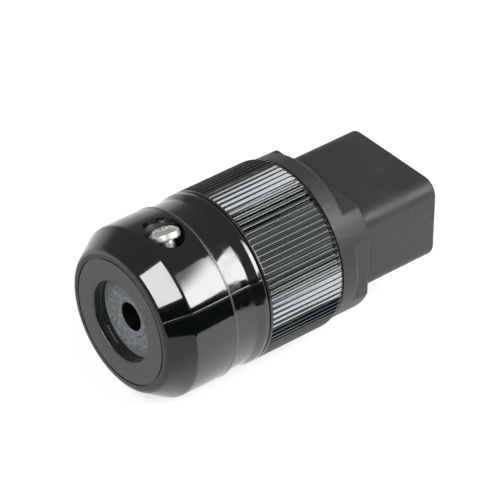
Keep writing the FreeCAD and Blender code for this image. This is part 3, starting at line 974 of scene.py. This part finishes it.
@dataclass
class CouplingRing(Assembly):
    """Ribbed ring: one rib's sector is shaped and set out round the barrel, in millimetres."""

    front: float = -29.45
    rear: float = -49.25
    radius: float = 19.1
    bore: float = 17.0
    lip_bore: float = 15.05
    lip: float = 2.5
    nose_length: float = 1.6
    nose_drop: float = 0.65
    nose_parts: int = 10
    nose_edge: Pair = (0.08, 0.1)
    rear_edge: Pair = (0.3, 0.09)
    rear_band: float = 0.6
    ribs: int = 92
    columns: int = 12
    groove: float = 0.52
    crest_half: float = 0.085
    floor_half: float = 0.04
    run_out: float = 0.28
    margin: float = 0.01

    @property
    def ribs_front(self) -> float:
        """Station where the ribs meet the rounded nose."""
        return self.front - self.nose_length

    @property
    def ribs_rear(self) -> float:
        """Station where the ribs meet the plain band at the rear."""
        return self.rear + self.rear_band

    def nose(self) -> list[Pair]:
        """Points of the rounded front edge, from the ribs forward.

        Returns:
            Station and radius of each point.
        """
        bend = (self.nose_length ** 2 + self.nose_drop ** 2) / (2 * self.nose_drop)
        steps = [self.nose_length * part / self.nose_parts for part in range(self.nose_parts)]
        return [(self.ribs_front + along, self.radius - bend + math.sqrt(bend ** 2 - along ** 2))
                for along in steps]

    def profile(self) -> list[Pair]:
        """Closed profile without the grooves, with extra points where they run out.

        Returns:
            Station and radius of each point.
        """
        wide, narrow = self.rear_edge
        rear_edge = [(self.rear, self.radius - wide), (self.rear + narrow, self.radius - narrow),
                     (self.rear + wide, self.radius)]
        grooves = [(self.ribs_rear, self.radius), (self.ribs_rear + self.run_out, self.radius),
                   (self.ribs_front - self.run_out, self.radius)]
        tip, lip_back = self.radius - self.nose_drop, self.front - self.lip
        back, down = self.nose_edge
        inside = [(self.front - back, tip), (self.front, tip - down), (self.front, self.lip_bore),
                  (lip_back, self.lip_bore), (lip_back, self.bore), (self.rear, self.bore)]
        return rear_edge + grooves + self.nose() + inside

    def depth(self, column: int) -> float:
        """Depth of the groove at one column of the sector.

        Args:
            column: which column, from 0 on one groove's floor over the crest to the next floor.

        Returns:
            The depth.
        """
        pitch = FULL_TURN * self.radius / self.ribs
        across = abs(column / self.columns - 0.5) * pitch
        slope = (across - self.crest_half) / (pitch / 2 - self.crest_half - self.floor_half)
        return self.groove * max(0.0, min(1.0, slope))

    def centre(self, piece: bpy.types.Object) -> None:
        """Turn the sector about the axis until its middle is on top.

        Args:
            piece: the sector, in edit mode before and after.
        """
        bpy.ops.object.mode_set(mode="OBJECT")
        angles = [math.atan2(-vertex.co.y, vertex.co.z) for vertex in piece.data.vertices]
        Bench.settle(piece, Matrix.Rotation(-sum(angles) / len(angles), 4, "X"))
        bpy.ops.object.mode_set(mode="EDIT")

    def sink(self, piece: bpy.types.Object, column: int, span: Pair, depth: float) -> None:
        """Move one column of the sector inward between two stations.

        Args:
            piece: the sector, in edit mode.
            column: which column, from 0.
            span: stations of the rearmost and the foremost point that move.
            depth: how far they move.
        """
        angle = (column - self.columns / 2) * FULL_TURN / self.ribs / self.columns
        near = math.pi / self.ribs / self.columns
        inner = self.radius - self.nose_drop - 3 * self.margin
        low, high = span[0] - self.margin, span[1] + self.margin

        def wanted(place: Vector) -> bool:
            """Whether a vertex lies on this column between the stations."""
            x, y, z = place / MM
            return low < x < high and z > inner and abs(math.atan2(-y, z) - angle) < near

        if depth > 0 and Bench.choose(piece, wanted):
            inward = Vector((0.0, math.sin(angle), -math.cos(angle)))
            bpy.ops.transform.translate(value=inward * depth * MM)

    def sink_column(self, piece: bpy.types.Object, column: int) -> None:
        """Sink one column of the ribs and let its groove run out into the rounded nose.

        Args:
            piece: the sector, in edit mode.
            column: which column, from 0.
        """
        depth = self.depth(column)
        span = (self.ribs_rear + self.run_out, self.ribs_front - self.run_out)
        self.sink(piece, column, span, depth)
        for x, radius in self.nose():
            self.sink(piece, column, (x, x), depth - (self.radius - radius))

    def build(self) -> None:
        """Shape one sector, set out its copies round the axis and dress the ring."""
        piece = Bench.trace("coupling_ring_shell", self.profile())
        Bench.turn(self.columns, FULL_TURN / self.ribs)
        self.centre(piece)
        for column in range(self.columns + 1):
            self.sink_column(piece, column)
        bpy.ops.mesh.select_all(action="SELECT")
        Bench.turn(self.ribs, copies=True)
        Bench.close(piece, 34.0)
        self.place(piece, Finish.RING, "coupling_ring")


# ---------------------------------------------------------------- cord seal

@dataclass
class CordSeal(Assembly):
    """Rubber disc, slightly dished round its central bead, in millimetres."""

    face: float = -70.3
    back: float = -67.0
    radius: float = 11.5
    bead: float = 4.4
    bead_height: float = 0.25
    bead_slope: float = 0.35
    dish_depth: float = 0.12
    dish: Pair = (7.8, 9.3)
    hole: float = 3.1
    small_rounding: float = 0.2
    rounding: float = 0.3
    dish_rounding: float = 0.8
    segments: int = 160

    def build(self) -> None:
        """Turn the disc and dress it."""
        low, top = self.face + self.dish_depth, self.face - self.bead_height
        profile = rounded([
            (self.back, self.hole, 0), (top, self.hole, self.rounding),
            (top, self.bead, self.small_rounding),
            (low, self.bead + self.bead_slope, self.rounding),
            (low, self.dish[0], self.dish_rounding), (self.face, self.dish[1], self.rounding),
            (self.face, self.radius, self.small_rounding),
            (self.back, self.radius, self.small_rounding)], 4)
        piece = Bench.trace("cord_seal_disc", profile)
        Bench.turn(self.segments)
        Bench.close(piece)
        self.place(piece, Finish.RUBBER, "cord_seal")


# ---------------------------------------------------------------- clamp screws

@dataclass(frozen=True)
class ScrewSeat:
    """Where one clamp screw sits: its names, its side in degrees and how far it is out."""

    name: str
    node: str
    turn: float
    out: float


@dataclass(frozen=True)
class DriveSlot:
    """One slot of a screw head's drive, in millimetres; its length is a share of the radius."""

    angle: float
    length: float
    depth: float
    width: float = 0.95


@dataclass
class ClampScrews(Assembly):
    """Nickel-plated machine screws with low domed heads and rolled threads, in millimetres.

    One is made on the Z axis, with its head's underside at zero, and the other is its copy.
    """

    seats: tuple[ScrewSeat, ...] = (ScrewSeat("upper_clamp_screw", "upper_cord_screw", 0.0, 5.3),
                                    ScrewSeat("lower_clamp_screw", "lower_cord_screw", 180.0, 3.0))
    clamp: ClampAxis = ClampAxis()
    seat: float = 8.6
    length: float = 17.4
    shank: float = 1.75
    pitch: float = 0.6
    tooth: float = 0.32
    thread_end: float = 0.6
    tip: float = 0.5
    core_lap: float = 0.02
    tip_drop: float = 0.2
    thread_steps: int = 40
    head: float = 3.3
    head_height: float = 2.4
    head_foot: Triple = (0.1, 0.35, 0.12)
    head_rim: Triple = (0.05, 1.0, 0.35)
    dome: Triple = (0.62, 0.12, 1.2)
    head_steps: int = 96
    drive: tuple[DriveSlot, ...] = (DriveSlot(20.0, 2.2, 0.9), DriveSlot(110.0, 1.1, 1.2))

    def head_piece(self) -> bpy.types.Object:
        """Head, with the two slots of its drive cut in.

        Returns:
            The head.
        """
        top, rim = self.head_height, self.head
        inset, foot, foot_rounding = self.head_foot
        taper, edge, edge_rounding = self.head_rim
        share, drop, dome_rounding = self.dome
        piece = Bench.trace("clamp_screw_head", rounded([
            (0.0, 0.0, 0), (rim - inset, 0.0, 0), (rim, foot, foot_rounding),
            (rim - taper, top - edge, edge_rounding), (rim * share, top - drop, dome_rounding),
            (0.0, top, 0)], 5))
        Bench.turn(self.head_steps, axis=Z_AXIS)
        Bench.close(piece)
        for slot in self.drive:
            Bench.clear()
            bpy.ops.mesh.primitive_cube_add(size=MM, location=(0, 0, top * MM))
            blade = bpy.context.object
            blade.scale = (slot.length * rim, slot.width, 2 * slot.depth)
            blade.rotation_euler = (0, 0, math.radians(slot.angle))
            Bench.cut(piece, blade)
        return piece

    def thread(self, root: float) -> bpy.types.Object:
        """Thread: one tooth's outline wound into a helix.

        Args:
            root: radius of the thread's root.

        Returns:
            The thread, below the head.
        """
        outline = ((root, 0.0), (root, 0.12), (self.shank, 0.42), (self.shank, 0.56),
                   (root, 0.88), (root, 1.0))
        points = [(radius, share * self.pitch) for radius, share in outline]
        piece = Bench.trace("clamp_screw_thread", points, closed=False)
        Bench.only(piece)
        wind = piece.modifiers.new("wind", "SCREW")
        wind.axis, wind.angle, wind.screw_offset = "Z", FULL_TURN, self.pitch * MM
        wind.iterations = int((self.length - self.thread_end) / self.pitch) - 1
        wind.steps = wind.render_steps = self.thread_steps
        wind.use_merge_vertices, wind.merge_threshold = True, MERGE / 2
        bpy.ops.object.modifier_apply(modifier=wind.name)
        Bench.settle(piece, Matrix.Translation((0, 0, (self.tip - self.length) * MM)))
        bpy.ops.object.mode_set(mode="EDIT")
        Bench.close(piece, 40.0)
        return piece

    def core(self, root: float) -> bpy.types.Object:
        """Shank inside the thread, with a pointed tip.

        Args:
            root: radius of the thread's root.

        Returns:
            The shank.
        """
        side, end = root + self.core_lap, -self.length
        piece = Bench.trace("clamp_screw_core", [
            (0.0, end), (root - self.tip_drop, end), (side, end + self.tip), (side, 0.0),
            (0.0, 0.0)])
        Bench.turn(self.thread_steps, axis=Z_AXIS)
        Bench.close(piece)
        return piece

    def build(self) -> None:
        """Make one screw, copy it, and put both in place."""
        root = self.shank - self.tooth
        parts = [self.head_piece(), self.thread(root), self.core(root)]
        pattern = Bench.join(parts, "clamp_screw")
        for seat in self.seats:
            piece = Bench.copy(pattern, seat.name)
            lift = Matrix.Translation((0, 0, (self.seat + seat.out) * MM))
            Bench.settle(piece, self.clamp.placement(seat.turn) @ lift)
            self.place(piece, Finish.NICKEL, seat.node)
        bpy.data.meshes.remove(pattern.data, do_unlink=True)


# ---------------------------------------------------------------- front body and inner pieces

@dataclass
class FrontBody(Assembly):
    """Front moulding with its nose, shoulder, flange and spigot."""

    hard_edge: float = 35.0

    def build(self) -> None:
        """Dress the front moulding."""
        piece = Bench.dressed_copy("contact_carrier", "front_body_shell", self.hard_edge)
        self.place(piece, Finish.CARRIER, "contact_carrier")


class InnerPieces:
    """CAD nodes, which keep their own shape and only take a finish."""

    def build(self) -> None:
        """Give each node the finish of its material slot."""
        slots = {row["node"]: row["material_slot"] for row in frame["record"]["subparts"]}
        for name, node in frame["nodes"].items():
            finish = Finish(slots[name])
            if not node.material_slots:
                node.data.materials.append(MATERIALS[finish])
            for slot in node.material_slots:
                slot.link = "OBJECT"
                slot.material = MATERIALS[finish]
            LOG.info("%s is finished in %s", name, finish.value)


# ---------------------------------------------------------------- studio

@dataclass
class SoftBox:
    """Rectangular soft light aimed at the connector, in metres and degrees.

    It may fade up its face between two shares of its height, on a slant, to a dim share.
    """

    name: str
    towards: Triple
    distance: float
    width: float
    height: float
    radiance: float
    roll: float = 0.0
    fade: Pair | None = None
    slant: float = 0.5
    dim: float = 0.12

    def shade(self, light: bpy.types.AreaLight) -> None:
        """Let a light fade up its face.

        Args:
            light: the light.
        """
        recipe = Recipe(light)
        across, up, _ = recipe.split(recipe.node("ShaderNodeNewGeometry").outputs["Parametric"])
        start, end = self.fade
        share = (up - across * self.slant).step(end, start)
        colour = recipe.colour(share, (self.dim,) * 3, WHITE)
        glow = recipe.node("ShaderNodeEmission", None, {"Color": colour})
        recipe.output("ShaderNodeOutputLight", glow)

    def build(self, target: Vector) -> None:
        """Hang the light so that its face looks at a target.

        Args:
            target: the place it is aimed at.
        """
        light = bpy.data.lights.new(self.name, "AREA")
        light.shape, light.size, light.size_y = "RECTANGLE", self.width, self.height
        light.energy = self.radiance * math.pi * self.width * self.height
        if self.fade:
            self.shade(light)
        lamp = bpy.data.objects.new(self.name, light)
        bpy.context.collection.objects.link(lamp)
        away = Vector(self.towards).normalized()
        lamp.location = target + away * self.distance
        roll = Quaternion(Z_AXIS, math.radians(self.roll))
        lamp.rotation_euler = (away.to_track_quat("Z", "Y") @ roll).to_euler()
        lamp.visible_camera = False


@dataclass(frozen=True)
class Card:
    """Card that only reflections see, which may fade out along x, in metres.

    It stands where low and high share their y, and lies where they share their z. Its shade
    goes from 0 for black to 1 for white.
    """

    name: str
    low: Triple
    high: Triple
    shade: float
    fade: Pair | None = None

    def material(self) -> bpy.types.Material:
        """Build the card's material.

        Returns:
            The material.
        """
        recipe = Recipe.of_material(self.name + "_shade")
        glow = recipe.node("ShaderNodeEmission", None, {"Color": (*(self.shade,) * 3, 1.0)})
        if self.fade:
            gone = recipe.split(recipe.place)[0].step(*self.fade)
            clear = recipe.node("ShaderNodeBsdfTransparent")
            glow = recipe.node("ShaderNodeMixShader", None,
                               {0: gone, 1: glow.outputs[0], 2: clear.outputs[0]})
        return recipe.output("ShaderNodeOutputMaterial", glow)

    def build(self) -> None:
        """Set up the card."""
        Bench.clear()
        size = Vector(self.high) - Vector(self.low)
        lean = 0.0 if size.y else math.pi / 2
        bpy.ops.mesh.primitive_plane_add(size=1.0, location=Vector(self.low) + size / 2,
                                         rotation=(lean, 0, 0))
        plane = bpy.context.object
        plane.name = self.name
        plane.scale = (size.x, size.y + size.z, 1.0)
        plane.data.materials.append(self.material())
        Bench.settle(plane)
        plane.visible_camera = plane.visible_diffuse = plane.visible_shadow = False


@dataclass
class Studio:
    """Pale floor, dim surroundings, two soft boxes and the cards, in metres."""

    floor_size: float = 4.0
    floor_z: float = -0.0191
    floor_grey: Triple = (0.55, 0.55, 0.55)
    floor_cast: Triple = (0.92, 0.97, 1.0)
    floor_glow: float = 0.7
    surroundings: Triple = (0.24, 0.235, 0.225)
    backdrop: Triple = (0.78, 0.81, 0.84)
    backdrop_top: float = 0.32
    backdrop_side: Pair = (-0.1, 0.5)
    target: Triple = (-0.045, 0.0, 0.0)
    cards: tuple[Card, ...] = (
        Card("tall_card", (-0.32, -0.135, -0.0191), (-0.10, -0.135, 0.105), 0.0),
        Card("low_card", (-0.10, -0.135, -0.0191), (0.30, -0.135, 0.055), 0.0),
        # painted shade: the grey floor card dims the floor that the cone reflects, standing in for
        # shade on the floor there
        Card("floor_card", (-0.32, -0.135, -0.0186), (-0.060, 0.06, -0.0186), 0.6,
             (-0.083, -0.062)))
    boxes: tuple[SoftBox, ...] = (
        SoftBox("side_box", (0.482, -0.616, 0.632), 0.55, 0.26, 0.36, 11.0, fade=(0.27, 0.6)),
        SoftBox("rear_box", (-0.622, -0.339, 0.706), 0.75, 0.64, 0.16, 9.5, -43.0))

    def floor(self) -> None:
        """Lay the white floor, which keeps the connector's shadow."""
        Bench.clear()
        bpy.ops.mesh.primitive_plane_add(size=self.floor_size, location=(0, 0, self.floor_z))
        plane = bpy.context.object
        plane.name = "studio_floor"
        recipe = Recipe.of_material("white_floor")
        ray = recipe.node("ShaderNodeLightPath")
        camera, glossy, through = (Signal(recipe, ray.outputs[f"Is {kind} Ray"])
                                   for kind in ("Camera", "Glossy", "Transmission"))
        tint = recipe.colour(camera, self.floor_cast, WHITE)
        strength = (camera + glossy + through) * self.floor_glow
        glow = recipe.node("ShaderNodeEmission", None, {"Color": tint, "Strength": strength})
        diffuse = recipe.node("ShaderNodeBsdfDiffuse", None, {"Color": (*self.floor_grey, 1.0)})
        both = recipe.node("ShaderNodeAddShader", None, {0: diffuse.outputs[0], 1: glow.outputs[0]})
        plane.data.materials.append(recipe.output("ShaderNodeOutputMaterial", both))

    def world(self) -> None:
        """Make the dim surroundings, with a pale backdrop low down on the far side."""
        world = bpy.data.worlds.new("studio_world")
        recipe = Recipe(world, "Generated")
        _, y, z = recipe.split(recipe.place)
        backdrop = z.step(self.backdrop_top, 0.0) * y.step(*self.backdrop_side)
        colour = recipe.colour(backdrop, self.surroundings, self.backdrop)
        shine = recipe.node("ShaderNodeBackground", None, {"Color": colour})
        bpy.context.scene.world = recipe.output("ShaderNodeOutputWorld", shine)

    def build(self) -> None:
        """Set up floor, cards, surroundings and lights."""
        self.floor()
        for card in self.cards:
            card.build()
        self.world()
        for box in self.boxes:
            box.build(Vector(self.target))


@dataclass
class Viewpoint:
    """Camera that looks down on the rear end, in metres, degrees and millimetres of lens."""

    target: Triple = (-0.03708, 0.00257, 0.0)
    distance: float = 0.73234
    angles: Triple = (53.5264, -0.4783, -39.2768)
    lens: float = 252.0
    sensor: float = 36.0
    clip: Pair = (0.01, 20.0)

    def build(self) -> None:
        """Create the camera and make it the scene's."""
        data = bpy.data.cameras.new("viewpoint")
        data.lens, data.sensor_width = self.lens, self.sensor
        data.clip_start, data.clip_end = self.clip
        camera = bpy.data.objects.new("viewpoint", data)
        bpy.context.collection.objects.link(camera)
        turn = Euler([math.radians(angle) for angle in self.angles], "XYZ")
        camera.rotation_euler = turn
        camera.location = Vector(self.target) + turn.to_matrix() @ Vector((0, 0, self.distance))
        bpy.context.scene.camera = camera


def main() -> None:
    """Build and dress the connector and its studio."""
    logging.basicConfig(level=logging.INFO, format="%(message)s")
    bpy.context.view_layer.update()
    Viewpoint().build()
    MATERIALS.update({finish: maker.material() for finish, maker in FINISHES.items()})
    InnerPieces().build()
    for assembly in (RearHousing(), CouplingRing(), FrontBody(), CordSeal(), ClampScrews()):
        assembly.build()
    Studio().build()
    bpy.context.scene.view_settings.view_transform = "Standard"


if __name__ == "__main__":
    main()
